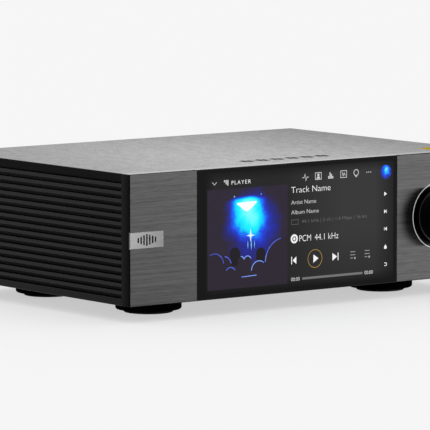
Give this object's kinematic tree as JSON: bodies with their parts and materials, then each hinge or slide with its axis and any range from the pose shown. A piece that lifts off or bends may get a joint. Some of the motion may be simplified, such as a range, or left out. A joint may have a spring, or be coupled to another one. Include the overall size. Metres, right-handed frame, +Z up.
{
  "type": "desktop dac",
  "caption": "Low aluminium desktop network player and DAC with a full-height glass touch screen, large volume knob with ring light, ribbed sides and round feet.",
  "frame": {"origin": "on the surface it stands on, under the middle of the whole object's box", "axes": "+X to the right seen from the front, -Y towards the front, +Z up"},
  "size_m": [0.27, 0.2128, 0.0882],
  "materials": {
    "brushed_aluminium": "fine horizontal brushing, anodised grey",
    "blasted_aluminium": "bead-blasted, anodised grey",
    "rib_aluminium": "bead-blasted, anodised dark",
    "back_paint": "fine texture, matt black",
    "hatch_paint": "fine texture, matt black",
    "screen_glass": "polished, dark tint",
    "display_face": "dark display",
    "zinc_steel": "zinc plated",
    "ribbon_film": "polyimide film",
    "badge_metal": "light satin",
    "dark_inlay": "filled engraving",
    "gold_label": "printed metal foil",
    "light_guide": "diffusing, lit from behind",
    "black_plastic": "moulded black",
    "circuit_board": "solder mask",
    "shaft_steel": "turned",
    "knob_metal": "turned, anodised black",
    "knob_face_metal": "spun face, anodised black",
    "black_screw": "black oxide",
    "foot_plastic": "black",
    "foot_rubber": "matt",
    "brass_posts": "machined",
    "socket_shell": "black die casting",
    "contact_gold": "gold plated",
    "socket_plastic": "moulded black",
    "shutter_plastic": "moulded black",
    "socket_steel": "pressed, plated",
    "contact_steel": "nickel plated",
    "rocker_plastic": "moulded black",
    "chip_plastic": "moulded package",
    "capacitor_sleeve": "shrink sleeve",
    "heatsink_metal": "black anodised",
    "ferrite": "ferrite and tape"
  },
  "bodies": {
    "root": {"front_panel": "brushed_aluminium", "top_cover": "blasted_aluminium", "side_panel_left": "rib_aluminium", "side_panel_right": "rib_aluminium", "rear_panel": "back_paint", "base_plate": "back_paint", "ssd_cover": "hatch_paint", "screen_glass": "screen_glass", "lcd_module": "display_face", "lcd_bracket": "zinc_steel", "lcd_ribbon": "ribbon_film", "front_badge": "badge_metal", "badge_mark": "dark_inlay", "top_mark": "dark_inlay", "top_label": "gold_label", "ring_light": "light_guide", "knob_well": "black_plastic", "ring_board": "circuit_board", "encoder_body": "zinc_steel", "encoder_nut": "zinc_steel", "foot_front_left": "foot_plastic", "foot_front_right": "foot_plastic", "foot_rear_left": "foot_plastic", "foot_rear_right": "foot_plastic", "foot_pads": "foot_rubber", "foot_screws": "zinc_steel", "case_screws": "black_screw", "inner_screws": "zinc_steel", "standoffs": "brass_posts", "xlr_jacks": "socket_shell", "xlr_pins": "contact_gold", "rca_shells": "contact_gold", "rca_insulators": "socket_plastic", "optical_jacks": "socket_plastic", "usb_jacks": "socket_steel", "hdmi_jack": "socket_steel", "network_jack": "socket_steel", "port_tongues": "socket_plastic", "trigger_jack": "socket_plastic", "power_inlet": "socket_plastic", "inlet_pins": "contact_steel", "switch_frame": "socket_plastic", "antenna_jacks": "contact_gold", "main_board": "circuit_board", "psu_board": "circuit_board", "dac_chips": "chip_plastic", "audio_capacitors": "capacitor_sleeve", "psu_capacitors": "capacitor_sleeve", "soc_module": "circuit_board", "soc_heatsink": "heatsink_metal", "psu_transformer": "ferrite", "psu_cover": "zinc_steel"},
    "encoder_rotor": {"encoder_rotor": "black_plastic"},
    "knob": {"knob_shaft": "shaft_steel", "volume_knob": "knob_metal", "knob_face": "knob_face_metal", "knob_set_screw": "black_screw"},
    "rocker": {"power_rocker": "rocker_plastic"},
    "optical_in_flap": {"optical_in_shutter": "shutter_plastic"},
    "optical_out_flap": {"optical_out_shutter": "shutter_plastic"}
  },
  "joints": [
    {"name": "knob_turn", "type": "hinge", "parent": "root", "child": "encoder_rotor", "pos_m": [0.1018, -0.0909, 0.04905], "axis": [0, 1, 0], "continuous": true},
    {"name": "knob_press", "type": "slide", "parent": "encoder_rotor", "child": "knob", "axis": [0, 1, 0], "range_m": [0, 0.0005], "stiffness_N_per_m": 3000, "springref_m": -0.0002},
    {"name": "power_rocker_tilt", "type": "hinge", "parent": "root", "child": "rocker", "pos_m": [-0.1175, 0.0959, 0.0359], "axis": [1, 0, 0], "range_deg": [0, 20]},
    {"name": "optical_in_flap_swing", "type": "hinge", "parent": "root", "child": "optical_in_flap", "pos_m": [0.009, 0.0958, 0.0529], "axis": [-1, 0, 0], "range_deg": [0, 85], "stiffness_Nm_per_rad": 0.00005},
    {"name": "optical_out_flap_swing", "type": "hinge", "parent": "root", "child": "optical_out_flap", "pos_m": [0.009, 0.0958, 0.0349], "axis": [-1, 0, 0], "range_deg": [0, 85], "stiffness_Nm_per_rad": 0.00005}
  ]
}
